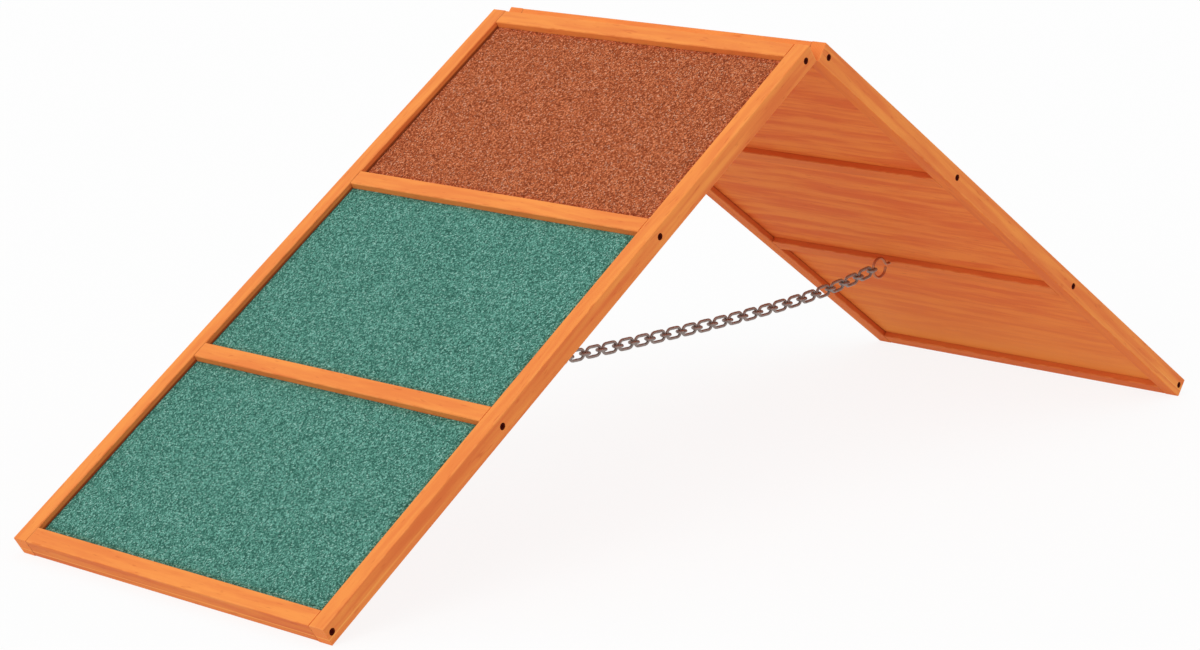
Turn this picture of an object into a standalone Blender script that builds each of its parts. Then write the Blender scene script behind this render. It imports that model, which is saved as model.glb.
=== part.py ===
"""A-shaped agility ramp for dogs: two framed panels, hinged at the ridge and tied by a chain.

Metres, +Z up. X runs along the ramp, Y across it, and the front is at -Y. The origin is on the
floor, below the ridge, at mid width.

Each panel has a frame of its own: the origin is on the fold axis, x runs down the slope, y runs
across and z points out through the face that the dog walks on.
"""

import math

import bmesh
import bpy
from mathutils import Matrix, Vector

# Panels
WIDTH = 0.520
LENGTH = 0.940
FRAME = 0.025
RAIL_WIDTH = 0.022
BATTEN_WIDTH = 0.0225
BAYS = ("upper", "middle", "lower")
BATTENS = ("ridge", "upper", "lower", "foot")
HALF_ANGLE = math.radians(55.35)
AXIS_DROP = 0.003
ARRIS = 0.001
GAP = 0.0003

# Boards in their grooves, and the felt on them
BOARD_BELOW = 0.008
BOARD = 0.006
GROOVE = 0.005
FELT = 0.003
FELT_MARGIN = 0.0005

# Screws through the rails into the ends of the battens
SCREW_HEIGHT = 0.013
SCREW_SHIFT = 0.003
SCREW_HEAD_RADIUS = 0.004
SCREW_RADIUS = 0.002
SCREW_LENGTH = 0.0405
SCREW_SIDES = 10
PILOT_DEPTH = 0.0193

# Ridge hinges
HINGE_OFFSET = 0.150
LEAF_LENGTH = 0.050
LEAF_WIDTH = 0.020
LEAF = 0.0012
KNUCKLE_RADIUS = 0.00255
MIDDLE_KNUCKLE = 0.0165
BORE_RADIUS = 0.0015
PIN_RADIUS = 0.0014
PIN_LENGTH = 0.0506
LEAF_SCREW_OFFSET = 0.0155
LEAF_SCREW_REACH = 0.0120
LEAF_HOLE_RADIUS = 0.0021

# Screw eyes on the lower battens
EYE_ACROSS = 0.032
EYE_FOOT = 0.616
EYE_LEAN = math.radians(45.35)
EYE_REACH = 0.0225
EYE_RADIUS = 0.0132
EYE_WIRE = 0.0018
EYE_DEPTH = 0.013
EYE_STEPS = 16

# Chain: long links that face the side, joined by short links that lie across them
PAIRS = 16
WIRE = 0.0019
LONG_WIDTH = 0.0123
SHORT_LENGTH = 0.0118
SHORT_WIDTH = 0.0085
SEATED = 0.0033
LONG_STEPS = 4
SHORT_STEPS = 3
SAG = 0.024
SAG_POWER = 3.5
EYE_DIP = 0.001
RUNS = (3, 3, 3, 3, 4)

# Everything that follows from the sizes above
BAY = (LENGTH - len(BATTENS) * BATTEN_WIDTH) / len(BAYS)
PITCH = BAY + BATTEN_WIDTH
INSIDE = WIDTH - 2 * RAIL_WIDTH
BATTEN_AT = {name: BATTEN_WIDTH / 2 + i * PITCH for i, name in enumerate(BATTENS)}
BAY_AT = {name: BATTEN_WIDTH + BAY / 2 + i * PITCH for i, name in enumerate(BAYS)}
SCREW_AT = {name: middle + SCREW_SHIFT for name, middle in BATTEN_AT.items()}
GROOVE_LOW = BOARD_BELOW - GAP
GROOVE_HIGH = BOARD_BELOW + BOARD + GAP
SLOPE = math.pi / 2 - HALF_ANGLE
LOOSE = WIRE + WIRE / math.cos(math.pi / 2 / LONG_STEPS) + GAP
AXIS_HEIGHT = LENGTH * math.cos(HALF_ANGLE) - AXIS_DROP * math.sin(HALF_ANGLE)
EYE_CENTRE = Vector(
    (
        EYE_FOOT - EYE_REACH * math.sin(EYE_LEAN),
        0.0,
        AXIS_DROP - EYE_REACH * math.cos(EYE_LEAN),
    )
)


def srgb(code):
    """The linear colour of a six-digit screen colour."""
    parts = [int(code[i : i + 2], 16) / 255 for i in (0, 2, 4)]
    linear = [p / 12.92 if p <= 0.04045 else ((p + 0.055) / 1.055) ** 2.4 for p in parts]
    return (*linear, 1.0)


def material(name, code, roughness, metallic):
    made = bpy.data.materials.new(name)
    made.use_nodes = True
    surface = made.node_tree.nodes["Principled BSDF"]
    surface.inputs["Base Color"].default_value = srgb(code)
    surface.inputs["Roughness"].default_value = roughness
    surface.inputs["Metallic"].default_value = metallic
    made.diffuse_color = srgb(code)
    made.roughness = roughness
    made.metallic = metallic
    return made


def add_prism(bm, outline, across, up, along, start=(0, 0, 0)):
    """The flat outline of (across, up) lengths, pushed along a vector."""
    corners = [Vector(start) + a * Vector(across) + b * Vector(up) for a, b in outline]
    face = bm.faces.new([bm.verts.new(corner) for corner in corners])
    pushed = bmesh.ops.extrude_face_region(bm, geom=[face])
    moved = [item for item in pushed["geom"] if isinstance(item, bmesh.types.BMVert)]
    bmesh.ops.translate(bm, vec=Vector(along), verts=moved)


def add_box(bm, low, high):
    size = Vector(high) - Vector(low)
    square = ((0, 0), (size.x, 0), (size.x, size.y), (0, size.y))
    add_prism(bm, square, (1, 0, 0), (0, 1, 0), (0, 0, size.z), low)


def bridge(bm, first, second):
    """Quads between two rings of as many points each."""
    for i in range(len(first)):
        j = (i + 1) % len(first)
        bm.faces.new((first[i], first[j], second[j], second[i]))


def add_turned(bm, profile, sides, place):
    """A profile of (radius, height) points turned round z, with flat ends, then placed."""
    rings = []
    for radius, height in profile:
        turns = (2 * math.pi * i / sides for i in range(sides))
        points = (Vector((radius * math.cos(a), radius * math.sin(a), height)) for a in turns)
        rings.append([bm.verts.new(place @ point) for point in points])
    for first, second in zip(rings, rings[1:]):
        bridge(bm, first, second)
    bm.faces.new(rings[0])
    bm.faces.new(rings[-1])


def add_closed_wire(bm, path, normal, radius, sides):
    """A round wire along a closed flat path. The wire keeps its width at each corner of the path."""
    rings = []
    for i, point in enumerate(path):
        before = (point - path[i - 1]).normalized()
        after = (path[(i + 1) % len(path)] - point).normalized()
        outward = (before - after).normalized()
        stretch = 1 / math.cos(before.angle(after) / 2)
        ring = []
        for k in range(sides):
            turn = 2 * math.pi * k / sides
            offset = outward * (stretch * math.cos(turn)) + normal * math.sin(turn)
            ring.append(bm.verts.new(point + radius * offset))
        rings.append(ring)
    for i, ring in enumerate(rings):
        bridge(bm, ring, rings[(i + 1) % len(rings)])


def mesh_from(name, bm, look=None, smooth=False):
    bmesh.ops.recalc_face_normals(bm, faces=bm.faces)
    mesh = bpy.data.meshes.new(name)
    bm.to_mesh(mesh)
    bm.free()
    if look:
        mesh.materials.append(look)
    if smooth:
        mesh.shade_smooth()
        mesh.set_sharp_from_angle(angle=math.radians(50))
    return mesh


def put(name, mesh, parent, location=(0, 0, 0), rotation=(0, 0, 0)):
    made = bpy.data.objects.new(name, mesh)
    bpy.context.scene.collection.objects.link(made)
    made.parent = parent
    made.location = location
    made.rotation_euler = rotation
    return made


def shape_with(made, operation, mesh):
    """A Boolean modifier whose helper stands where the piece stands."""
    helper = put(made.name + "_" + operation.lower(), mesh, made)
    helper.hide_render = True
    helper.display_type = "WIRE"
    cut = made.modifiers.new(operation.title(), "BOOLEAN")
    cut.operation = operation
    cut.solver = "EXACT"
    cut.object = helper


def empty(name, parent=None, location=(0, 0, 0), rotation=(0, 0, 0)):
    made = put(name, None, parent, location, rotation)
    made.empty_display_size = 0.05
    return made


def looks():
    return {
        "rail": material("rail_wood", "EE8440", 0.50, 0.0),
        "batten": material("batten_wood", "F08C45", 0.50, 0.0),
        "board": material("board_wood", "D0703A", 0.55, 0.0),
        "red": material("red_felt", "A65B3C", 0.95, 0.0),
        "green": material("green_felt", "4C8A76", 0.95, 0.0),
        "screw": material("black_screw", "1C1210", 0.45, 0.8),
        "hinge": material("hinge_steel", "9A958E", 0.40, 1.0),
        "chain": material("chain_steel", "6E625C", 0.42, 1.0),
    }


def rail_mesh(look):
    """A rail with its outer face at y = 0."""
    bm = bmesh.new()
    w = RAIL_WIDTH
    c = ARRIS
    outline = [(c, 0), (w - c, 0), (w, c), (w, FRAME - c), (w - c, FRAME), (c, FRAME)]
    outline += [(0, FRAME - c), (0, c)]
    add_prism(bm, outline, (0, 1, 0), (0, 0, 1), (LENGTH, 0, 0))
    return mesh_from("rail", bm, look)


def rail_cuts(turned):
    """The boards' grooves and the screws' holes. A turned rail has its foot at x = 0."""
    w = RAIL_WIDTH
    bm = bmesh.new()
    for middle in BAY_AT.values():
        reach = BAY / 2 + GROOVE
        low = (middle - reach, w - GROOVE, GROOVE_LOW)
        add_box(bm, low, (middle + reach, w + GROOVE, GROOVE_HIGH))
    clear = SCREW_RADIUS + 0.00035
    flare = SCREW_HEAD_RADIUS + 0.0004
    seat = 0.0009
    profile = [(flare, -0.002), (flare, seat), (clear, seat + flare - clear), (clear, w + 0.002)]
    inward = Matrix.Rotation(-math.pi / 2, 4, "X")
    for station in SCREW_AT.values():
        at = LENGTH - station if turned else station
        place = Matrix.Translation((at, 0, SCREW_HEIGHT)) @ inward
        add_turned(bm, profile, SCREW_SIDES, place)
    return mesh_from("rail_cuts", bm)


def batten_outline(groove_above, groove_below):
    """The end view of a batten. Its grooves face the ridge, the foot, or both."""
    w = BATTEN_WIDTH / 2
    c = ARRIS
    deep = w - GROOVE
    points = [(-w + c, 0), (w - c, 0), (w, c)]
    if groove_below:
        points += [(w, GROOVE_LOW), (deep, GROOVE_LOW), (deep, GROOVE_HIGH), (w, GROOVE_HIGH)]
    points += [(w, FRAME - c), (w - c, FRAME), (-w + c, FRAME), (-w, FRAME - c)]
    if groove_above:
        points += [(-w, GROOVE_HIGH), (-deep, GROOVE_HIGH), (-deep, GROOVE_LOW), (-w, GROOVE_LOW)]
    return points + [(-w, c)]


def batten_mesh(name, look):
    bm = bmesh.new()
    length = INSIDE - 2 * GAP
    outline = batten_outline(name != "ridge", name != "foot")
    add_prism(bm, outline, (1, 0, 0), (0, 0, 1), (0, length, 0), (0, -length / 2, 0))
    return mesh_from(name + "_batten", bm, look)


def batten_cuts(eye_side):
    """Pilot holes in both ends, and the screw eye's hole where eye_side isn't 0."""
    bm = bmesh.new()
    end = INSIDE / 2 - GAP
    radius = SCREW_RADIUS + 0.0003
    for side in (-1, 1):
        place = Matrix.Translation((SCREW_SHIFT, side * end, SCREW_HEIGHT))
        place = place @ Matrix.Rotation(side * math.pi / 2, 4, "X")
        add_turned(bm, [(radius, -0.002), (radius, PILOT_DEPTH)], SCREW_SIDES, place)
    if eye_side:
        foot = (EYE_FOOT - BATTEN_AT["lower"], eye_side * EYE_ACROSS, 0)
        place = Matrix.Translation(foot) @ Matrix.Rotation(EYE_LEAN, 4, "Y")
        profile = [(EYE_WIRE + 0.0003, -0.004), (EYE_WIRE + 0.0003, EYE_DEPTH + 0.0004)]
        add_turned(bm, profile, SCREW_SIDES, place)
    return mesh_from("batten_cuts", bm)


def sheet_mesh(name, length, width, thickness, look):
    bm = bmesh.new()
    low = (-length / 2, -width / 2, 0)
    add_box(bm, low, (length / 2, width / 2, thickness))
    return mesh_from(name, bm, look)


def screw_mesh(look):
    """A countersunk screw: z runs into the wood from the rail's face, and the head sits just below it."""
    head = SCREW_HEAD_RADIUS
    shank = SCREW_RADIUS
    top = 0.0005
    neck = top + 0.0003 + head - shank
    profile = [(0.0006, top + 0.0012), (0.0016, top), (head, top), (head, top + 0.0003)]
    profile += [(shank, neck), (shank, SCREW_LENGTH - 0.004), (0.0003, SCREW_LENGTH)]
    bm = bmesh.new()
    add_turned(bm, profile, SCREW_SIDES, Matrix.Identity(4))
    return mesh_from("rail_screw", bm, look, smooth=True)


def knuckle_spans(owner):
    """The stretches of the pin that the leaf's knuckles cover."""
    half = MIDDLE_KNUCKLE / 2
    if owner == "right":
        return ((-half, half),)
    return ((-LEAF_LENGTH / 2, -half - GAP), (half + GAP, LEAF_LENGTH / 2))


def leaf_meshes(owner, look):
    """A hinge leaf: the notched plate, the knuckles joined to it, and the bore and holes cut from both."""
    near = 0.0005
    far = 0.0030
    end = LEAF_LENGTH / 2
    step = MIDDLE_KNUCKLE / 2 + (GAP if owner == "left" else 0)
    inner = (near, far) if owner == "right" else (far, near)
    outline = [(LEAF_WIDTH, -end), (LEAF_WIDTH, end), (inner[1], end), (inner[1], step)]
    outline += [(inner[0], step), (inner[0], -step), (inner[1], -step), (inner[1], -end)]
    bm = bmesh.new()
    base = AXIS_DROP - GAP - LEAF
    add_prism(bm, outline, (1, 0, 0), (0, 1, 0), (0, 0, LEAF), (0, 0, base))
    plate = mesh_from(owner + "_leaf", bm, look, smooth=True)
    along = Matrix.Rotation(-math.pi / 2, 4, "X")
    bm = bmesh.new()
    for low, high in knuckle_spans(owner):
        add_turned(bm, [(KNUCKLE_RADIUS, low), (KNUCKLE_RADIUS, high)], 16, along)
    knuckles = mesh_from("knuckles", bm)
    bm = bmesh.new()
    add_turned(bm, [(BORE_RADIUS, -end - 0.002), (BORE_RADIUS, end + 0.002)], 12, along)
    for side in (-1, 1):
        place = Matrix.Translation((LEAF_SCREW_REACH, side * LEAF_SCREW_OFFSET, base))
        hole = [(LEAF_HOLE_RADIUS, -0.001), (LEAF_HOLE_RADIUS, LEAF + 0.001)]
        add_turned(bm, hole, 12, place)
    return plate, knuckles, mesh_from("leaf_cuts", bm)


def pin_mesh(look):
    bm = bmesh.new()
    half = PIN_LENGTH / 2
    edge = 0.0003
    profile = [(PIN_RADIUS - edge, -half), (PIN_RADIUS, edge - half)]
    profile += [(PIN_RADIUS, half - edge), (PIN_RADIUS - edge, half)]
    add_turned(bm, profile, 12, Matrix.Rotation(-math.pi / 2, 4, "X"))
    return mesh_from("hinge_pin", bm, look, smooth=True)


def eye_meshes(look):
    """The ring of a screw eye about its centre, with its shank along x, joined to it."""
    bm = bmesh.new()
    turns = [2 * math.pi * i / EYE_STEPS for i in range(EYE_STEPS)]
    path = [EYE_RADIUS * Vector((math.cos(a), 0, math.sin(a))) for a in turns]
    add_closed_wire(bm, path, Vector((0, 1, 0)), EYE_WIRE, 8)
    ring = mesh_from("screw_eye", bm, look, smooth=True)
    bm = bmesh.new()
    tip = EYE_REACH + EYE_DEPTH
    profile = [(EYE_WIRE, EYE_RADIUS - 0.0004), (EYE_WIRE, tip - 0.003), (0.0004, tip)]
    add_turned(bm, profile, 8, Matrix.Rotation(math.pi / 2, 4, "Y"))
    return ring, mesh_from("shank", bm)


def eye_in_world():
    """Where the right screw eye's centre is, from the middle of the ramp and from the fold axis."""
    across = EYE_CENTRE.x * math.sin(HALF_ANGLE) + EYE_CENTRE.z * math.cos(HALF_ANGLE)
    height = EYE_CENTRE.z * math.sin(HALF_ANGLE) - EYE_CENTRE.x * math.cos(HALF_ANGLE)
    return across, height


class Hang:
    """The chain's centre line from the middle of the ramp to the right screw eye."""

    STEPS = 2000

    def __init__(self):
        across, height = eye_in_world()
        self.centre = Vector((across, 0, height))
        self.end = across - EYE_RADIUS
        self.height = height - EYE_DIP
        self.lengths = [0.0]
        for i in range(self.STEPS):
            piece = self.at(self.end * (i + 1) / self.STEPS) - self.at(self.end * i / self.STEPS)
            self.lengths.append(self.lengths[-1] + piece.length)

    def at(self, x):
        drop = SAG * (1 - (abs(x) / self.end) ** SAG_POWER)
        return Vector((x, 0, self.height - drop))

    def place(self, length):
        """The point and the direction at a length along the chain, seen from the eye's centre."""
        if length > self.lengths[-1]:
            before = self.end * (1 - 1 / self.STEPS)
            ahead = (self.at(self.end) - self.at(before)).normalized()
            point = self.at(self.end) + (length - self.lengths[-1]) * ahead
            return point - self.centre, ahead
        i = sum(1 for known in self.lengths[1:-1] if known <= length)
        share = (length - self.lengths[i]) / (self.lengths[i + 1] - self.lengths[i])
        x = self.end * (i + share) / self.STEPS
        small = self.end / self.STEPS
        ahead = (self.at(x + small) - self.at(x - small)).normalized()
        return self.at(x) - self.centre, ahead


def link_seats():
    """How far apart the wires of each two neighbouring links lie, from the middle to the eye."""
    seats = [SEATED] * (2 * PAIRS)
    seats[0] = (SEATED + LOOSE) / 2
    long_links = 0
    for count in reversed(RUNS[1:]):
        long_links += count
        seats[2 * long_links] = LOOSE
    return seats


def link_stations(hang):
    """(kind, middle, run) of each link of half a chain, out from the middle, and the long links' length."""
    seats = link_seats()
    flat = EYE_RADIUS * (1 - math.cos(math.pi / EYE_STEPS))
    eye_seat = EYE_WIRE + WIRE + flat + GAP
    total = hang.lengths[-1] + eye_seat + sum(seats)
    long_length = (total - SHORT_LENGTH / 2) / PAIRS - SHORT_LENGTH
    order = [run for run, count in reversed(list(enumerate(RUNS, 1))) for _ in range(count)]
    stations = []
    reached = SHORT_LENGTH / 2
    for pair in range(PAIRS):
        reached += long_length - seats[2 * pair]
        stations.append(("long", reached - long_length / 2, order[pair]))
        reached += SHORT_LENGTH - seats[2 * pair + 1]
        stations.append(("short", reached - SHORT_LENGTH / 2, order[pair]))
    return stations, long_length


def oval(length, width, steps):
    """Points round a shape with straight sides and round ends, each end in so many steps."""
    radius = width / 2
    straight = length / 2 - radius
    points = []
    for side in (1, -1):
        for i in range(steps + 1):
            turn = math.pi * (i / steps - 0.5)
            x = side * (straight + radius * math.cos(turn))
            points.append((x, side * radius * math.sin(turn)))
    # An odd number of steps ends in a flat, which is moved out to the full length.
    stretch = length / 2 / max(x for x, y in points)
    return [(x * stretch, y) for x, y in points]


def add_link(bm, kind, length, point, ahead):
    across = Vector((0, 1, 0))
    up = across.cross(ahead) * -1
    if kind == "long":
        outline = oval(length, LONG_WIDTH, LONG_STEPS)
        beside, normal = up, across
    else:
        outline = oval(SHORT_LENGTH, SHORT_WIDTH, SHORT_STEPS)
        beside, normal = across, up
    path = [point + a * ahead + b * beside for a, b in outline]
    add_closed_wire(bm, path, normal, WIRE, 6)


def chain_meshes(look):
    """For each run, the long links and the short links that are joined to them."""
    hang = Hang()
    stations, long_length = link_stations(hang)
    made = {}
    for run in range(1, len(RUNS) + 1):
        for kind in ("long", "short"):
            bm = bmesh.new()
            for known, middle, owner in stations:
                if (known, owner) == (kind, run):
                    point, ahead = hang.place(middle)
                    add_link(bm, kind, long_length, point, ahead)
            name = f"chain_{run}_{kind}"
            made[run, kind] = mesh_from(name, bm, look if kind == "long" else None, smooth=True)
    bm = bmesh.new()
    for known, middle, owner in stations:
        if (known, owner) == ("short", len(RUNS)):
            point, ahead = hang.place(middle)
            add_link(bm, "short", long_length, point, ahead)
    # The middle link is joined to the left half and hooks loosely round the right half.
    point = hang.at(0) - hang.centre - Vector(((LOOSE - SEATED) / 2, 0, 0))
    add_link(bm, "short", long_length, point, Vector((1, 0, 0)))
    made["middle"] = mesh_from("chain_middle_short", bm, None, smooth=True)
    return made


def build():
    for old in list(bpy.data.objects):
        bpy.data.objects.remove(old, do_unlink=True)
    look = looks()
    rail = rail_mesh(look["rail"])
    battens = {name: batten_mesh(name, look["batten"]) for name in BATTENS}
    board = sheet_mesh(
        "board", BAY + 2 * (GROOVE - GAP), INSIDE + 2 * (GROOVE - GAP), BOARD, look["board"]
    )
    margin = 2 * FELT_MARGIN
    red = sheet_mesh("red_felt", BAY - margin, INSIDE - margin, FELT, look["red"])
    green = sheet_mesh("green_felt", BAY - margin, INSIDE - margin, FELT, look["green"])
    screw = screw_mesh(look["screw"])
    pin = pin_mesh(look["hinge"])
    ring, shank = eye_meshes(look["chain"])
    chain = chain_meshes(look["chain"])

    for side, turn in (("left", math.pi), ("right", 0.0)):
        axis = empty(side + "_panel_axis", None, (0, 0, AXIS_HEIGHT), (0, SLOPE, turn))
        # Seen in the panel's own frame, the ramp's front is at -y on the right and +y on the left.
        front = -1 if side == "right" else 1
        for where, across in (("front", front), ("rear", -front)):
            location = (0 if across < 0 else LENGTH, across * WIDTH / 2, AXIS_DROP)
            rotation = (0, 0, 0 if across < 0 else math.pi)
            made = put(f"{side}_{where}_rail", rail, axis, location, rotation)
            shape_with(made, "DIFFERENCE", rail_cuts(across > 0))
            for name in BATTENS:
                location = (SCREW_AT[name], across * WIDTH / 2, AXIS_DROP + SCREW_HEIGHT)
                rotation = (across * math.pi / 2, 0, 0)
                put(f"{side}_{where}_{name}_screw", screw, axis, location, rotation)
            leaf, knuckles, cuts = leaf_meshes(side, look["hinge"])
            offset = (0, across * HINGE_OFFSET, 0)
            made = put(f"{where}_hinge_{side}_leaf", leaf, axis, offset)
            shape_with(made, "UNION", knuckles)
            shape_with(made, "DIFFERENCE", cuts)
            if side == "left":
                put(f"{where}_hinge_pin", pin, axis, offset)
        for name in BATTENS:
            made = put(f"{side}_{name}_batten", battens[name], axis, (BATTEN_AT[name], 0, AXIS_DROP))
            shape_with(made, "DIFFERENCE", batten_cuts(-front if name == "lower" else 0))
        for name in BAYS:
            low = AXIS_DROP + BOARD_BELOW
            put(f"{side}_{name}_board", board, axis, (BAY_AT[name], 0, low))
            felt = red if name == "upper" else green
            put(f"{side}_{name}_felt", felt, axis, (BAY_AT[name], 0, low + BOARD + GAP))
        centre = EYE_CENTRE + Vector((0, -front * EYE_ACROSS, 0))
        made = put(f"{side}_screw_eye", ring, axis, centre, (0, EYE_LEAN - math.pi / 2, 0))
        shape_with(made, "UNION", shank)
        pivot = empty(side + "_chain_pivot", axis, centre, (0, -SLOPE, 0))
        for run in range(1, len(RUNS) + 1):
            made = put(f"{side}_chain_run_{run}", chain[run, "long"], pivot)
            last = side == "left" and run == len(RUNS)
            shape_with(made, "UNION", chain["middle"] if last else chain[run, "short"])


build()
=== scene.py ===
import math

import bmesh
import bpy
import numpy as np
from mathutils import Matrix, Vector


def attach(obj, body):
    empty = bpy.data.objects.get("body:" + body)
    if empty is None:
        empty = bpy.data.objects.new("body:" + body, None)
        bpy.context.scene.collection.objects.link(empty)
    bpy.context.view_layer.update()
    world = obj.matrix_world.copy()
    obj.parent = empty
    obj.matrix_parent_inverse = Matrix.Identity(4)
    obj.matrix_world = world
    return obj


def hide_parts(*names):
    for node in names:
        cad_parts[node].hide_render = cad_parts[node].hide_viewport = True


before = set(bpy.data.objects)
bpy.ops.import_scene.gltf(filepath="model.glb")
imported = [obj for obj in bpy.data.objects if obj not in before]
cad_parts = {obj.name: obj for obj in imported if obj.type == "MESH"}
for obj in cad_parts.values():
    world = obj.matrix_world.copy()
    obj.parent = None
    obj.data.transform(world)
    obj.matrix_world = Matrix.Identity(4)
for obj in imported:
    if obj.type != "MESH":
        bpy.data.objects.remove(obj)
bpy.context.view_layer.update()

# The ramp's sizes, in metres, as its source states them
WIDTH = 0.520
LENGTH = 0.940
FRAME = 0.025
RAIL_WIDTH = 0.022
BATTEN_WIDTH = 0.0225
HALF_ANGLE = math.radians(55.35)
AXIS_DROP = 0.003
BAYS = ("upper", "middle", "lower")
BATTENS = ("ridge", "upper", "lower", "foot")
BAY = (LENGTH - len(BATTENS) * BATTEN_WIDTH) / len(BAYS)
PITCH = BAY + BATTEN_WIDTH
INSIDE = WIDTH - 2 * RAIL_WIDTH
BATTEN_AT = {name: BATTEN_WIDTH / 2 + i * PITCH for i, name in enumerate(BATTENS)}
BAY_AT = {name: BATTEN_WIDTH + BAY / 2 + i * PITCH for i, name in enumerate(BAYS)}
SLOPE = math.pi / 2 - HALF_ANGLE
AXIS_HEIGHT = LENGTH * math.cos(HALF_ANGLE) - AXIS_DROP * math.sin(HALF_ANGLE)
GAP = 0.0003
SCREW_HEIGHT = 0.013
SCREW_SHIFT = 0.003
FELT_LOW = 0.0143
FELT = 0.003
HINGE_OFFSET = 0.150
LEAF = 0.0012
LEAF_SCREW_REACH = 0.0120
LEAF_SCREW_OFFSET = 0.0155
EYE_ACROSS = 0.032
EYE_FOOT = 0.616
EYE_LEAN = math.radians(45.35)
EYE_REACH = 0.0225
EYE_RADIUS = 0.0132
EYE_WIRE = 0.0018
PAIRS = 16
RUNS = (3, 3, 3, 3, 4)
SHORT_WIDTH = 0.0085
SAG = 0.024
SAG_POWER = 3.5
EYE_DIP = 0.001

# Drawn a little stouter than in the source, because thin dark wire looks thinner against white
WIRE = 0.0020
LONG_WIDTH = 0.0127
SHORT_LENGTH = 0.0124

# How far the felts stop short of their bays, at the battens and at the rails
FELT_END_MARGIN = 0.0004
FELT_SIDE_MARGIN = 0.0005

STAIN = "FB9B4D"
BOARD_STAIN = "FD9447"
# How far each channel of the stain falls in the darker grain
DEEP = (0.91, 0.76, 0.80)
BOARD_DEEP = (0.87, 0.58, 0.62)
# A point is on a face where it is nearer than the first, and off it beyond the second.
ON_FACE = (0.0002, 0.0006)

# Shades of the grit, from the hollows to the lightest grains
GREEN_GRIT = [(0.0, "224E43"), (0.30, "3D7466"), (0.55, "569483"), (0.80, "73B4A3"), (1.0, "96CFC1")]
RED_GRIT = [(0.0, "6A2B15"), (0.30, "9E4C29"), (0.55, "C1643C"), (0.80, "E08354"), (1.0, "F4A278")]

PANEL = {
    "right": Matrix.Translation((0, 0, AXIS_HEIGHT)) @ Matrix.Rotation(SLOPE, 4, "Y"),
    "left": Matrix.Translation((0, 0, AXIS_HEIGHT))
    @ Matrix.Rotation(math.pi, 4, "Z")
    @ Matrix.Rotation(SLOPE, 4, "Y"),
}


# Materials

def srgb(code):
    """The linear colour of a six-digit screen colour."""
    parts = [int(code[i : i + 2], 16) / 255 for i in (0, 2, 4)]
    linear = [p / 12.92 if p <= 0.04045 else ((p + 0.055) / 1.055) ** 2.4 for p in parts]
    return (*linear, 1.0)


def tinted(code, red, green, blue):
    """A screen colour with each channel of its linear form scaled."""
    r, g, b, a = srgb(code)
    return (r * red, g * green, b * blue, a)


class Value:
    """A number that varies over a surface. Arithmetic on it adds Math nodes."""

    def __init__(self, nodes, socket):
        self.nodes = nodes
        self.socket = socket

    def math(self, operation, *others):
        values = dict(enumerate((self, *others)))
        return self.nodes.add("ShaderNodeMath", {"operation": operation}, values)

    def __add__(self, other):
        return self.math("ADD", other)

    __radd__ = __add__

    def __sub__(self, other):
        return self.math("SUBTRACT", other)

    def __rsub__(self, other):
        return (self * -1).math("ADD", other)

    def __mul__(self, other):
        return self.math("MULTIPLY", other)

    __rmul__ = __mul__

    def above(self, low, high):
        """0 below low, 1 above high, and a smooth step between them."""
        settings = {"interpolation_type": "SMOOTHSTEP"}
        return self.nodes.add("ShaderNodeMapRange", settings, {0: self, 1: low, 2: high})

    def below(self, low, high):
        """1 below low, 0 above high, and a smooth step between them."""
        return 1 - self.above(low, high)

    def band(self, start, full, fade, end):
        """1 from full to fade, and 0 before start and after end."""
        return self.above(start, full) * self.below(fade, end)


class Nodes:
    """The nodes of a material or of the world."""

    def __init__(self, tree):
        self.tree = tree

    def add(self, kind, settings=None, values=None, output=0):
        """A new node: its settings first, then what each of its sockets holds."""
        node = self.tree.nodes.new(kind)
        for key, value in (settings or {}).items():
            if key == "stops":
                self.set_stops(node.color_ramp, value)
            else:
                setattr(node, key, value)
        for key, value in (values or {}).items():
            self.connect(node.inputs[key], value)
        return Value(self, node.outputs[output]) if node.outputs else None

    def set_stops(self, ramp, stops):
        while len(ramp.elements) < len(stops):
            ramp.elements.new(1.0)
        for element, (position, code) in zip(ramp.elements, stops):
            element.position = position
            element.color = srgb(code)

    def connect(self, socket, value):
        if isinstance(value, Value):
            self.tree.links.new(value.socket, socket)
        else:
            socket.default_value = value

    def seen(self):
        """1 where the camera, a reflection or a refraction sees it, and 0 for the light it gives."""
        rays = ("Is Camera Ray", "Is Glossy Ray", "Is Transmission Ray")
        straight, mirrored, through = [self.add("ShaderNodeLightPath", output=ray) for ray in rays]
        return (straight + mirrored + through).math("MINIMUM", 1.0)


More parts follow.
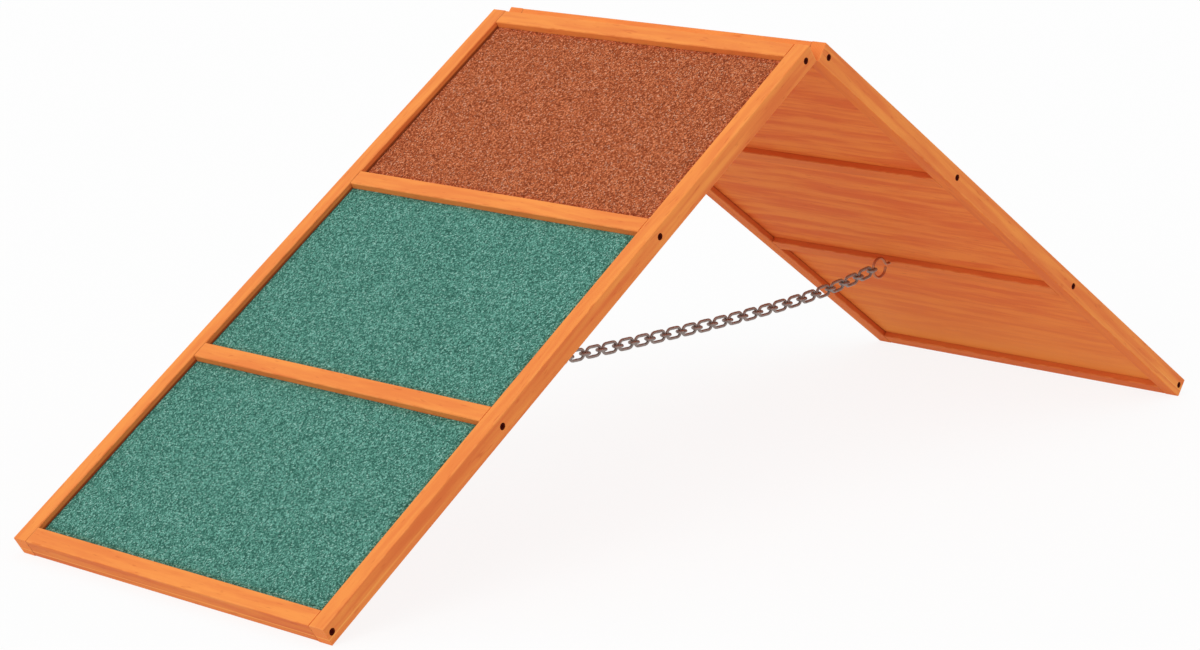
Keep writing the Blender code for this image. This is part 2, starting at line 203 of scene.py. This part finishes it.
class Look(Nodes):
    """A material under construction, over a Principled surface."""

    def __init__(self, name):
        self.material = bpy.data.materials.new(name)
        self.material.use_nodes = True
        super().__init__(self.material.node_tree)
        self.surface = self.tree.nodes["Principled BSDF"]

    def set(self, **values):
        for name, value in values.items():
            self.connect(self.surface.inputs[name.replace("_", " ")], value)

    def parts(self, vector):
        return [self.add("ShaderNodeSeparateXYZ", None, {0: vector}, i) for i in range(3)]

    def vector(self, x, y, z):
        return self.add("ShaderNodeCombineXYZ", None, {0: x, 1: y, 2: z})

    def mix(self, share, first, second, blend="MIX"):
        settings = {"data_type": "RGBA", "blend_type": blend}
        return self.add("ShaderNodeMix", settings, {0: share, 6: first, 7: second}, 2)

    def noise(self, place, scale, detail, roughness=0.5):
        values = {"Vector": place, "Scale": scale, "Detail": detail, "Roughness": roughness}
        return self.add("ShaderNodeTexNoise", None, values)

    def bump(self, height, distance, strength):
        values = {"Height": height, "Distance": distance, "Strength": strength}
        self.set(Normal=self.add("ShaderNodeBump", None, values))

    def panel_place(self):
        """How far down the slope, across and out of the panel a point lies, on either panel."""
        x, y, z = self.parts(self.add("ShaderNodeTexCoord", output=3))
        x = x.math("ABSOLUTE")
        z = z - AXIS_HEIGHT
        along = x * math.sin(HALF_ANGLE) - z * math.cos(HALF_ANGLE)
        out = x * math.cos(HALF_ANGLE) + z * math.sin(HALF_ANGLE)
        return along, y, out


def edge_distance(value, low, high):
    """How far inside the nearer of two limits a value lies."""
    return (value - low).math("MINIMUM", high - value)


def stained_wood(name, seed, grain, box, code, deep, gloss=0.10):
    """Orange-stained softwood.

    The grain runs along or across the panel. box gives the piece's limits along it, across it
    and out of it.
    """
    look = Look(name)
    place = look.panel_place()
    along, across, out = place
    height = out - AXIS_DROP
    run, side = (along, across) if grain == "along" else (across, along)
    drift = look.noise(look.vector(run * 4.5, side * 11, out * 11 + seed), 1.0, 1.0) - 0.5
    side = side + drift * 0.022
    depth = out + drift * 0.008

    def figure(lengthwise, crosswise, shift, detail, roughness):
        """Noise drawn out along the grain."""
        point = look.vector(run * lengthwise, side * crosswise, depth * crosswise + shift)
        return look.noise(point, 1.0, detail, roughness)

    bands = figure(5, 62, seed, 2.0, 0.5)
    streaks = figure(15, 150, -seed, 3.0, 0.6)
    fibres = figure(38, 520, seed, 2.0, 0.6)
    flecks = figure(52, 340, -seed, 1.0, 0.5)
    tone = (bands * 0.60 + streaks * 0.40).above(0.37, 0.62)
    colour = look.mix(tone, tinted(code, *deep), srgb(code))
    colour = look.mix(fibres.above(0.52, 0.80) * 0.22, colour, tinted(code, 0.78, 0.54, 0.56))
    colour = look.mix(flecks.above(0.64, 0.76) * 0.40, colour, tinted(code, 0.68, 0.38, 0.40))
    from_ends, from_sides, from_faces = [
        edge_distance(value, low, high) for value, (low, high) in zip(place, box)
    ]
    if grain == "along":
        # Sawn ends show the growth rings.
        rings = look.add("ShaderNodeTexWave", {"wave_type": "RINGS", "rings_direction": "Z"}, {
            "Vector": look.vector(side, depth, seed),
            "Scale": 130.0,
            "Distortion": 3.0,
            "Detail": 2.0,
        })
        ringed = look.mix(rings, tinted(code, 0.97, 0.88, 0.90), tinted(code, 0.88, 0.72, 0.74))
        colour = look.mix(from_ends.below(0.0002, 0.0005), colour, ringed)
        outer = from_sides.below(*ON_FACE)
        inner = across.math("ABSOLUTE") - INSIDE / 2
    else:
        # A fine joint where the batten meets the rails, closed tight at the front.
        joint = from_sides.below(0.0003, 0.0013) * across.above(-0.1, 0.1) * 0.85
        colour = look.mix(joint, colour, tinted(code, 0.30, 0.16, 0.15))
        # The face that stands on the floor is scuffed.
        outer = (LENGTH - along).below(*ON_FACE)
        colour = look.mix(outer, colour, (0.91, 0.88, 0.84, 1), "MULTIPLY")
        inner = from_ends + 1 - along.band(0.001, 0.002, LENGTH - 0.002, LENGTH - 0.001)
    # Broad bands show on the outer faces, where the stain sank in deeper.
    broad = look.noise(look.vector(run * 3.5, 0.0, depth * 125 + seed), 1.0, 1.0)
    deeper = outer * broad.above(0.40, 0.60) * 0.9
    colour = look.mix(deeper, colour, (0.92, 0.76, 0.82, 1), "MULTIPLY")
    # Painted shade: the frame's underside faces are darker and warmer.
    colour = look.mix(height.below(*ON_FACE), colour, (0.94, 0.73, 0.52, 1), "MULTIPLY")
    # Above the frame's underside, the boards begin at 8 mm and the felts end at 17.3 mm.
    # Painted light: the undersides of the boards are lighter towards the foot.
    board_face = height.band(0.0075, 0.0079, 0.0085, 0.0095)
    # thin is the share of painted light, growing towards the foot.
    thin = along.above(0.62, 0.95) * 0.5 + along.above(0.83, 0.93) * 0.4
    colour = look.mix(board_face * thin, colour, tinted(code, 1.045, 1.34, 1.42))
    # Painted shade on the faces of the recess, darker and redder, strongest low down, with dark
    # lines of painted shade along the felt and the board at the rails.
    recess = inner.below(0.0006, 0.0013)
    # low is the share of painted shade in the recess.
    low = recess * (0.65 - height.above(0.0100, 0.0110) * 0.40)
    colour = look.mix(low, colour, tinted(code, 0.62, 0.34, 0.38))
    if grain == "along":
        felt_contact_shade = height.band(0.0150, 0.0168, 0.0180, 0.0198)
        board_contact_shade = height.band(0.0050, 0.0080, 0.0085, 0.0095)
        painted_contact_shade = recess * (felt_contact_shade * 0.94 + board_contact_shade * 0.6) * 0.85
        colour = look.mix(painted_contact_shade, colour, tinted(code, 0.30, 0.12, 0.11))
    # On a face one of the three distances is nothing, so the middle one reaches the nearest arris.
    least = from_ends.math("MINIMUM", from_sides).math("MINIMUM", from_faces)
    most = from_ends.math("MAXIMUM", from_sides).math("MAXIMUM", from_faces)
    edge = from_ends + from_sides + from_faces - least - most
    # The arrises are lighter in patches: partly real wear, partly painted highlight.
    rub = look.noise(look.vector(along * 45, across * 45, out * 45 + seed), 1.0, 2.0)
    wear_and_highlight = (edge - rub * 0.0012).below(0.0001, 0.0014) * rub.above(0.42, 0.62) * 0.35
    colour = look.mix(wear_and_highlight, colour, tinted(code, 1.05, 1.18, 1.4))
    look.set(Base_Color=colour, Roughness=0.46 + streaks * 0.16 + fibres * 0.08)
    look.set(Specular_IOR_Level=gloss)
    look.bump(fibres * 0.6 + streaks * 0.5 + bands * 0.3, 0.00022, 0.5)
    return look.material


def grit_felt(name, seed, colours, glint):
    """Mineral grit bonded to felt: small grains, each of its own tone."""
    look = Look(name)
    along, across, out = look.panel_place()
    place = look.vector(along, across, out + seed)
    values = {"Vector": place, "Scale": 620.0, "Randomness": 1.0}
    distance = look.add("ShaderNodeTexVoronoi", None, values)
    grain = look.add("ShaderNodeTexVoronoi", None, values, 1)
    shade, sparkle, tint = look.parts(grain)
    patches = look.noise(place, 34.0, 3.0, 0.6)
    fine = look.noise(place, 900.0, 2.0, 0.7)
    tone = shade * 0.80 + fine * 0.34 + patches * 0.14 - 0.14
    colour = look.add("ShaderNodeValToRGB", {"stops": colours}, {0: tone})
    colour = look.mix(sparkle.above(0.90, 0.96) * 0.7, colour, srgb(glint))
    darkest = colours[0][1]
    colour = look.mix(distance.above(0.35, 0.75) * 0.5, colour, srgb(darkest))
    # Painted shade on the felt, most along the front rail and above each batten.
    down = (along - BATTEN_WIDTH).math("MODULO", PITCH)
    front = (across + INSIDE / 2).below(0.0105, 0.0145)
    foot = (BAY - down).below(0.0070, 0.0110) * 0.8
    head = down.below(0.0030, 0.0110) * 0.35
    painted_edge_shade = front.math("MAXIMUM", foot).math("MAXIMUM", head)
    colour = look.mix(painted_edge_shade, colour, (0.95, 0.76, 0.68, 1), "MULTIPLY")
    # Painted shadow along the rails: a dark line at the felt's cut edge, uneven with the grains.
    cut = INSIDE / 2 - across.math("ABSOLUTE") - shade * 0.0008
    rail_shadow = tinted(darkest, 0.40, 0.40, 0.40)
    colour = look.mix(cut.below(0.0008, 0.0024) * 0.9, colour, rail_shadow)
    look.set(Base_Color=colour, Roughness=0.96 - sparkle.above(0.9, 0.97) * 0.3)
    look.set(Specular_IOR_Level=0.12)
    look.bump((1 - distance) * 0.7 + tint * 0.6 + fine * 0.3, 0.0007, 0.8)
    return look.material


def worn_steel(name, code, dark, rough, metallic, tarnish=0.0, scale=260.0, gloss=0.5):
    """Plated or blackened steel, handled and slightly stained. tarnish spreads the dark colour."""
    look = Look(name)
    place = look.add("ShaderNodeTexCoord", output=3)
    clouds = look.noise(place, scale, 3.0, 0.6)
    scuffs = look.noise(place, scale * 5, 2.0, 0.7)
    colour = look.mix((clouds + tarnish).above(0.42, 0.72), srgb(code), srgb(dark))
    look.set(Base_Color=colour, Roughness=rough + clouds * 0.22 + scuffs * 0.10)
    look.set(Metallic=metallic, Specular_IOR_Level=gloss)
    look.bump(clouds * 0.5 + scuffs * 0.5, 0.00012, 0.5)
    return look.material


def paint(node, look):
    """A material for a solid that is shown as it is."""
    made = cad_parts[node]
    made.data.materials.clear()
    made.data.materials.append(look)


# Mesh helpers

def placed(name, bm, look):
    """An object made of a mesh, with one material."""
    mesh = bpy.data.meshes.new(name)
    bm.to_mesh(mesh)
    bm.free()
    mesh.materials.append(look)
    made = bpy.data.objects.new(name, mesh)
    bpy.context.scene.collection.objects.link(made)
    return made


def shown(name, bm, look, body, sharp):
    """A smooth piece in the ramp's own frame, creased above sharp degrees, on its body."""
    bmesh.ops.recalc_face_normals(bm, faces=bm.faces)
    piece = placed(name, bm, look)
    piece.data.shade_smooth()
    piece.data.set_sharp_from_angle(angle=math.radians(sharp))
    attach(piece, body)
    return piece


def bridge(bm, first, second, closed=True):
    """Faces between two rows of as many points."""
    count = len(first)
    for i in range(count if closed else count - 1):
        j = (i + 1) % count
        bm.faces.new((first[i], first[j], second[j], second[i]))


def ring_of(bm, radius, height, sides, place):
    """Points round z at a height. radius gives their distance from it at each turn."""
    turns = [2 * math.pi * i / sides for i in range(sides)]
    points = [(radius(a) * math.cos(a), radius(a) * math.sin(a), height) for a in turns]
    return [bm.verts.new(place @ Vector(point)) for point in points]


def wire(bm, path, normal, radius, sides, closed, swell=None):
    """Round wire along points in a plane. swell gives the share by which it grows at each point."""
    rings = []
    count = len(path)
    for i, point in enumerate(path):
        before = point - path[i - 1] if closed or i else path[1] - point
        after = path[(i + 1) % count] - point if closed or i < count - 1 else before
        ahead = (before.normalized() + after.normalized()).normalized()
        beside = ahead.cross(normal)
        thick = radius * (1 + (swell(i) if swell else 0))
        turns = (2 * math.pi * k / sides for k in range(sides))
        offsets = (beside * math.cos(a) + normal * math.sin(a) for a in turns)
        rings.append([bm.verts.new(point + thick * offset) for offset in offsets])
    for first, second in zip(rings, rings[1:]):
        bridge(bm, first, second)
    if closed:
        bridge(bm, rings[-1], rings[0])
        return
    # Open ends are rounded over by one smaller ring.
    for ring, inward in ((rings[0], path[1] - path[0]), (rings[-1], path[-2] - path[-1])):
        middle = sum((v.co for v in ring), Vector()) / sides
        push = inward.normalized() * -radius * 0.35
        inner = [bm.verts.new(middle + (v.co - middle) * 0.7 + push) for v in ring]
        bridge(bm, ring, inner)
        bm.faces.new(inner)


# Chain and screw eyes

class Hang:
    """The chain's centre line from the middle of the ramp to the right screw eye."""

    STEPS = 2000

    def __init__(self):
        centre = PANEL["right"] @ eye_centre("right")
        self.height = centre.z - EYE_DIP
        self.end = centre.x - EYE_RADIUS
        self.lengths = [0.0]
        for i in range(self.STEPS):
            piece = self.at(self.end * (i + 1) / self.STEPS) - self.at(self.end * i / self.STEPS)
            self.lengths.append(self.lengths[-1] + piece.length)

    def at(self, x):
        drop = SAG * (1 - (abs(x) / self.end) ** SAG_POWER)
        return Vector((x, 0, self.height - drop))

    def place(self, length):
        """The point and the direction at a length along the chain."""
        if length > self.lengths[-1]:
            ahead = (self.at(self.end) - self.at(self.end * (1 - 1 / self.STEPS))).normalized()
            return self.at(self.end) + (length - self.lengths[-1]) * ahead, ahead
        i = sum(1 for known in self.lengths[1:-1] if known <= length)
        share = (length - self.lengths[i]) / (self.lengths[i + 1] - self.lengths[i])
        x = self.end * (i + share) / self.STEPS
        small = self.end / self.STEPS
        return self.at(x), (self.at(x + small) - self.at(x - small)).normalized()


def eye_centre(side):
    """A screw eye's centre in its panel's own frame."""
    along = EYE_FOOT - EYE_REACH * math.sin(EYE_LEAN)
    out = AXIS_DROP - EYE_REACH * math.cos(EYE_LEAN)
    return Vector((along, EYE_ACROSS if side == "right" else -EYE_ACROSS, out))


def oval(length, width, steps):
    """Points round a shape with straight sides and round ends."""
    radius = width / 2
    straight = length / 2 - radius
    points = []
    for side in (1, -1):
        for i in range(steps + 1):
            turn = math.pi * (i / steps - 0.5)
            across = side * radius * math.sin(turn)
            points.append((side * (straight + radius * math.cos(turn)), across))
        # Only a long link's sides are long enough for points of their own.
        if straight > WIRE:
            for i in range(1, 4):
                x = side * straight * (1 - i / 2)
                points.append((x, side * radius))
    return points


def add_link(bm, kind, length, point, ahead, turn):
    """One link. Its weld is a low swelling in the middle of one side."""
    across = Vector((0, 1, 0))
    up = ahead.cross(across)
    tilt = Matrix.Rotation(turn, 3, ahead)
    beside, normal = (up, across) if kind == "long" else (across, up)
    width = LONG_WIDTH if kind == "long" else SHORT_WIDTH
    outline = oval(length, width, 9)
    path = [point + a * ahead + b * (tilt @ beside) for a, b in outline]
    weld = min(range(len(path)), key=lambda i: outline[i][0] ** 2 + (outline[i][1] - width / 2) ** 2)
    swell = 0.10
    reach = 0.0016

    def welded(i):
        return swell * math.exp(-(((path[i] - path[weld]).length / reach) ** 2))

    wire(bm, path, tilt @ normal, WIRE, 14, True, welded)


def hang_link(bm, hang, sign, kind, length, middle, turn):
    """One link of the hanging chain. sign is 1 on the right of its middle and -1 on the left."""
    point, ahead = hang.place(middle)
    point = Vector((sign * point.x, EYE_ACROSS, point.z))
    ahead = Vector((sign * ahead.x, 0, ahead.z))
    add_link(bm, kind, length, point, ahead, turn)


def chain():
    """Each run of links in place of its solid."""
    look = worn_steel("chain_steel", "A0958F", "7C706A", 0.38, 0.55, tarnish=-0.06)
    hang = Hang()
    slack = 0.0002
    seat = 2 * WIRE
    reach = hang.lengths[-1] + EYE_WIRE + WIRE + slack
    long_length = (reach + seat * 2 * PAIRS - SHORT_LENGTH / 2) / PAIRS - SHORT_LENGTH
    # The runs are numbered from the screw eye, and the links are laid from the middle.
    order = [run for run, count in reversed(list(enumerate(RUNS, 1))) for _ in range(count)]
    for side, sign in (("right", 1), ("left", -1)):
        meshes = {run: bmesh.new() for run in range(1, len(RUNS) + 1)}
        reached = SHORT_LENGTH / 2
        for pair in range(PAIRS):
            bm = meshes[order[pair]]
            roll = math.radians(5) * math.sin(pair * 2.4 + sign)
            reached += long_length - seat
            middle = reached - long_length / 2
            hang_link(bm, hang, sign, "long", long_length, middle, roll)
            reached += SHORT_LENGTH - seat
            middle = reached - SHORT_LENGTH / 2
            hang_link(bm, hang, sign, "short", SHORT_LENGTH, middle, roll / 2)
        if side == "left":
            hang_link(meshes[len(RUNS)], hang, sign, "short", SHORT_LENGTH, 0.0, 0.0)
        for run, bm in meshes.items():
            piece = shown(f"{side}_chain_links_{run}", bm, look, side + "_chain", 60)
            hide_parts(f"{side}_chain_run_{run}")


def eye_path():
    """The middle of a screw eye's wire: from its shank, round a bend, into the ring."""
    ring_from, ring_to, ring_steps = 18, 346, 56
    step = (ring_to - ring_from) / ring_steps
    turns = [math.radians(ring_from + step * i) for i in range(ring_steps + 1)]
    ring = [Vector((EYE_RADIUS * math.cos(a), 0, EYE_RADIUS * math.sin(a))) for a in turns]
    tangent = Vector((-math.sin(turns[0]), 0, math.cos(turns[0])))
    start = Vector((EYE_RADIUS + 0.0068, 0, 0))
    pull = [start, start - Vector((0.0040, 0, 0)), ring[0] - 0.0028 * tangent, ring[0]]
    neck_steps = 10
    neck = []
    for i in range(neck_steps):
        t = i / neck_steps
        share = ((1 - t) ** 3, 3 * t * (1 - t) ** 2, 3 * t * t * (1 - t), t**3)
        neck.append(sum((s * p for s, p in zip(share, pull)), Vector()))
    return neck + ring


def shank(bm, low, place):
    """A screw eye's shank from low up, threaded where it is in the wood, with a point."""
    sides = 16
    steps = 40
    high = EYE_REACH + 0.0125
    taper = high - 0.003
    thread_from = EYE_REACH - 0.0012
    thread_fade = 0.0006
    thread_depth = 0.00022
    thread_pitch = 0.0016

    def threaded(radius, height):
        depth = thread_depth * min(1, max(0, (height - thread_from) / thread_fade))
        return lambda turn: radius + depth * math.cos(2 * math.pi * height / thread_pitch - turn)

    profile = [(EYE_WIRE - 0.0001, low + (taper - low) * i / steps) for i in range(steps)]
    profile.append((EYE_WIRE * 0.75, high - 0.002))
    rings = [ring_of(bm, threaded(r, height), height, sides, place) for r, height in profile]
    for first, second in zip(rings, rings[1:]):
        bridge(bm, first, second)
    bm.faces.new(rings[0])
    tip = bm.verts.new(place @ Vector((0, 0, high)))
    for i in range(sides):
        bm.faces.new((tip, rings[-1][i], rings[-1][(i + 1) % sides]))


def screw_eyes():
    """Wire bent from a threaded shank into a ring whose end stops just short of the neck."""
    # The eye's warm brown colours are a painted reflection of the orange wood around it.
    look = worn_steel("eye_steel", "BC7A58", "A38474", 0.32, 0.8, tarnish=-0.06)
    path = eye_path()
    overlap = 0.0004
    for side in ("left", "right"):
        place = PANEL[side] @ Matrix.Translation(eye_centre(side))
        place = place @ Matrix.Rotation(EYE_LEAN - math.pi / 2, 4, "Y")
        bm = bmesh.new()
        normal = (place.to_3x3() @ Vector((0, 1, 0))).normalized()
        wire(bm, [place @ point for point in path], normal, EYE_WIRE, 16, False)
        shank(bm, path[0].x - overlap, place @ Matrix.Rotation(math.pi / 2, 4, "Y"))
        piece = shown(side + "_eye_wire", bm, look, side + "_panel", 50)
        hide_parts(side + "_screw_eye")


# Screws

def cross_recess(bm, radius, place):
    """A cross-shaped recess. Returns the points of its rim in order."""
    depth = 0.0011
    narrowing = 0.55
    arm = 0.24 * radius
    corners = []
    for quarter in range(4):
        turn = quarter * math.pi / 2
        for a, b in ((radius, -arm), (radius, arm), (arm, arm)):
            corners.append((a * math.cos(turn) - b * math.sin(turn),
                            a * math.sin(turn) + b * math.cos(turn)))
    rim = [bm.verts.new(place @ Vector((x, y, 0))) for x, y in corners]
    floor = [Vector((x * narrowing, y * narrowing, depth)) for x, y in corners]
    floor = [bm.verts.new(place @ point) for point in floor]
    bridge(bm, rim, floor)
    bm.faces.new(floor)
    return rim


def screw(bm, place, profile, recess):
    """A profile of (radius, height) points turned round z, with a cross recess in its face.

    The head comes first, and z runs into the wood.
    """
    rings = [ring_of(bm, lambda turn: radius, height, 36, place) for radius, height in profile]
    for first, second in zip(rings, rings[1:]):
        bridge(bm, first, second)
    bm.faces.new(rings[-1])
    top = place @ Matrix.Translation((0, 0, profile[0][1]))
    rim = cross_recess(bm, recess, top)
    loops = []
    for ring in (rings[0], rim):
        for first, second in zip(ring, ring[1:] + ring[:1]):
            loops.append(bm.edges.get((first, second)) or bm.edges.new((first, second)))
    bmesh.ops.triangle_fill(bm, use_beauty=True, use_dissolve=False, edges=loops)


def rail_screws():
    """Black countersunk screws, set just under the faces of the rails."""
    look = worn_steel("black_screw", "480A02", "260501", 0.55, 0.3, scale=600.0, gloss=0.04)
    profile = [(0.0037, 0.00046), (0.0040, 0.0006), (0.0040, 0.0008), (0.0030, 0.0018)]
    profile += [(0.0020, 0.0029), (0.0020, 0.012), (0.0016, 0.030), (0.0004, 0.0402)]
    recess = 0.0022
    for side in ("left", "right"):
        for where in ("front", "rear"):
            across = -1 if (side == "right") == (where == "front") else 1
            for i, name in enumerate(BATTENS):
                station = BATTEN_AT[name] + SCREW_SHIFT
                middle = (station, across * WIDTH / 2, AXIS_DROP + SCREW_HEIGHT)
                driven = 0.5 + 1.3 * i
                place = PANEL[side] @ Matrix.Translation(middle)
                place = place @ Matrix.Rotation(across * math.pi / 2, 4, "X")
                place = place @ Matrix.Rotation(driven, 4, "Z")
                bm = bmesh.new()
                screw(bm, place, profile, recess)
                node = f"{side}_{where}_{name}_screw"
                piece = shown(node + "_detail", bm, look, side + "_panel", 30)
                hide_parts(node)


def hinge_screws():
    """Two round-headed screws through each leaf."""
    look = worn_steel("hinge_screw", "A8A29A", "7C766E", 0.30, 1.0, scale=500.0)
    profile = [(0.0016, -0.0013), (0.0025, -0.0010), (0.0031, -0.0005), (0.0033, -0.00005)]
    profile += [(0.0018, 0.0), (0.0018, 0.0013)]
    recess = 0.0013
    leaf_face = AXIS_DROP - GAP - LEAF
    for side in ("left", "right"):
        for where, hinge in (("front", -1), ("rear", 1)):
            hinge = hinge if side == "right" else -hinge
            for number, step in ((1, -1), (2, 1)):
                across = hinge * HINGE_OFFSET + step * LEAF_SCREW_OFFSET
                driven = number * 0.8
                place = PANEL[side] @ Matrix.Translation((LEAF_SCREW_REACH, across, leaf_face))
                place = place @ Matrix.Rotation(driven, 4, "Z")
                bm = bmesh.new()
                screw(bm, place, profile, recess)
                name = f"{where}_hinge_{side}_screw_{number}"
                shown(name, bm, look, side + "_panel", 30)


# Felts and timber

def felt_grid(bm, place, level, phase, fray, halves):
    """One face of a felt, as rows of points from its upper edge down."""
    rows, columns = 57, 95
    long_half, wide_half = halves
    grid = []
    for i in range(rows):
        line = []
        for j in range(columns):
            at_end = i in (0, rows - 1)
            at_side = j in (0, columns - 1)
            u = 2 * i / (rows - 1) - 1
            v = 2 * j / (columns - 1) - 1
            x = long_half * u
            y = wide_half * v
            if at_end:
                x -= math.copysign(0.0001 * (1 + fray[0 if i else 1][j]), u)
            if at_side:
                y -= math.copysign(0.0002 * (1 + fray[2 if j else 3][i]), v)
            rise = 0.0
            if level:
                # The top has long low waves and is pressed down at its cut edge.
                rise = 0.00022 * math.sin(9 * x / 0.28 + phase[0] + 2 * v)
                rise += 0.00018 * math.sin(14 * y / 0.47 + phase[1] + 3 * u)
                rise += 0.00010 * math.sin(31 * x + 47 * y + phase[2])
                if at_end or at_side:
                    rise -= 0.0006
            line.append(bm.verts.new(place @ Vector((x, y, level + rise))))
        grid.append(line)
    for first, second in zip(grid, grid[1:]):
        bridge(bm, first, second, closed=False)
    return grid


def felts():
    """Grit felt laid in each bay: a thin sheet, not quite flat, with an uneven cut edge."""
    looks = {
        "green": grit_felt("green_grit", 0.0, GREEN_GRIT, "A6DACB"),
        "red": grit_felt("red_grit", 3.0, RED_GRIT, "F0B290"),
    }
    rng = np.random.default_rng(7)
    halves = (BAY / 2 - FELT_END_MARGIN, INSIDE / 2 - FELT_SIDE_MARGIN)
    for side in ("left", "right"):
        for name in BAYS:
            phase = rng.uniform(0, 6.28, 6)
            fray = rng.uniform(-1, 1, (4, 100))
            middle = (BAY_AT[name], 0, AXIS_DROP + FELT_LOW)
            place = PANEL[side] @ Matrix.Translation(middle)
            bm = bmesh.new()
            rims = []
            for level in (FELT, 0.0):
                grid = felt_grid(bm, place, level, phase, fray, halves)
                rim = grid[0][:-1] + [line[-1] for line in grid[:-1]]
                rim += grid[-1][:0:-1] + [line[0] for line in grid[:0:-1]]
                rims.append(rim)
            bridge(bm, *rims)
            colour = "red" if name == "upper" else "green"
            piece = shown(f"{side}_{name}_grit_felt", bm, looks[colour], side + "_panel", 50)
            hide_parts(f"{side}_{name}_felt")


def timber():
    """Stain on the rails, battens and boards, each with a grain of its own."""
    seed = 1.0
    seed_step = 7.3
    faces = (AXIS_DROP, AXIS_DROP + FRAME)
    for side in ("left", "right"):
        for where, sign in (("front", -1), ("rear", 1)):
            seed += seed_step
            edges = sorted((sign * INSIDE / 2, sign * WIDTH / 2))
            name = f"{side}_{where}_rail"
            box = ((0, LENGTH), edges, faces)
            paint(name, stained_wood(name + "_stain", seed, "along", box, STAIN, DEEP))
        for batten in BATTENS:
            seed += seed_step
            middle = BATTEN_AT[batten]
            span = (middle - BATTEN_WIDTH / 2, middle + BATTEN_WIDTH / 2)
            name = f"{side}_{batten}_batten"
            box = (span, (-INSIDE / 2, INSIDE / 2), faces)
            paint(name, stained_wood(name + "_stain", seed, "across", box, STAIN, DEEP))
        for bay in BAYS:
            seed += seed_step
            # A board's edges are in the grooves, so its limits lie far off.
            box = ((-1, 2), (-1, 1), (-1, 1))
            name = f"{side}_{bay}_board"
            look = stained_wood(name + "_stain", seed, "across", box, BOARD_STAIN, BOARD_DEEP, 0.05)
            paint(name, look)


def hinges():
    """Plated steel on the hinges, which are shown as they are."""
    look = worn_steel("hinge_plate", "B4AEA6", "8C867E", 0.32, 1.0, scale=220.0)
    for where in ("front", "rear"):
        for part in ("left_leaf", "right_leaf", "pin"):
            paint(f"{where}_hinge_{part}", look)


# Floor, light and camera

def floor():
    """A white floor with a pale shadow, which throws a plain level of light back up."""
    look = Look("floor_white")
    look.set(Base_Color=(0.90, 0.90, 0.90, 1), Roughness=0.9, Specular_IOR_Level=0.2)
    surface = Value(look, look.surface.outputs[0])

    def glowing(strength, share):
        """The surface with a share of white glow. The rest keeps the shadow."""
        values = {"Color": (1, 1, 1, 1), "Strength": strength}
        glow = look.add("ShaderNodeEmission", None, values)
        return look.add("ShaderNodeMixShader", None, {0: share, 1: surface, 2: glow})

    # As it lights the ramp, and as it is seen
    values = {0: look.seen(), 1: glowing(0.66, 0.5), 2: glowing(1.02, 0.86)}
    shader = look.add("ShaderNodeMixShader", None, values)
    look.connect(look.tree.nodes["Material Output"].inputs[0], shader)
    half = 20
    bm = bmesh.new()
    corners = ((-half, -half, 0), (half, -half, 0), (half, half, 0), (-half, half, 0))
    bm.faces.new([bm.verts.new(corner) for corner in corners])
    ground = placed("floor", bm, look.material)
    ground.location.z = -0.0002


def light():
    """An even white studio, seen as white, and one broad soft lamp from the left."""
    white = (1, 1, 1, 1)
    world = bpy.data.worlds.new("studio")
    bpy.context.scene.world = world
    world.use_nodes = True
    world.node_tree.nodes.clear()
    nodes = Nodes(world.node_tree)
    given = nodes.add("ShaderNodeBackground", None, {"Color": white, "Strength": 0.70})
    seen = nodes.add("ShaderNodeBackground", None, {"Color": white, "Strength": 1.0})
    surface = nodes.add("ShaderNodeMixShader", None, {0: nodes.seen(), 1: given, 2: seen})
    nodes.add("ShaderNodeOutputWorld", None, {"Surface": surface})
    lamp = bpy.data.lights.new("soft_key", "SUN")
    lamp.energy = 1.05
    lamp.angle = math.radians(40)
    key = bpy.data.objects.new("soft_key", lamp)
    bpy.context.scene.collection.objects.link(key)
    key.rotation_euler = Vector((-0.83, -0.20, 0.52)).to_track_quat("Z", "Y").to_euler()


def camera():
    """The photograph's viewpoint, as fitted to the ramp's corners and edges."""
    yaw, pitch, roll = 0.82242, -0.19257, 0.00062
    level = math.cos(pitch)
    ahead = Vector((math.sin(yaw) * level, math.cos(yaw) * level, math.sin(pitch)))
    right = Vector((math.cos(yaw), -math.sin(yaw), 0))
    up = right.cross(ahead)
    rolled_right = math.cos(roll) * right + math.sin(roll) * up
    rolled_up = math.cos(roll) * up - math.sin(roll) * right
    lens = bpy.data.cameras.new("camera")
    lens.sensor_width = 36
    lens.lens = 103.534
    lens.shift_x = -0.02267
    lens.shift_y = -0.05003
    lens.clip_end = 100
    eye = bpy.data.objects.new("camera", lens)
    bpy.context.scene.collection.objects.link(eye)
    place = Matrix((rolled_right, rolled_up, -ahead)).transposed().to_4x4()
    place.translation = (-3.08617, -2.82219, 1.07292)
    eye.matrix_world = place
    bpy.context.scene.camera = eye


camera()
timber()
hinges()
felts()
chain()
screw_eyes()
rail_screws()
hinge_screws()
floor()
light()
bpy.context.scene.view_settings.view_transform = "Standard"
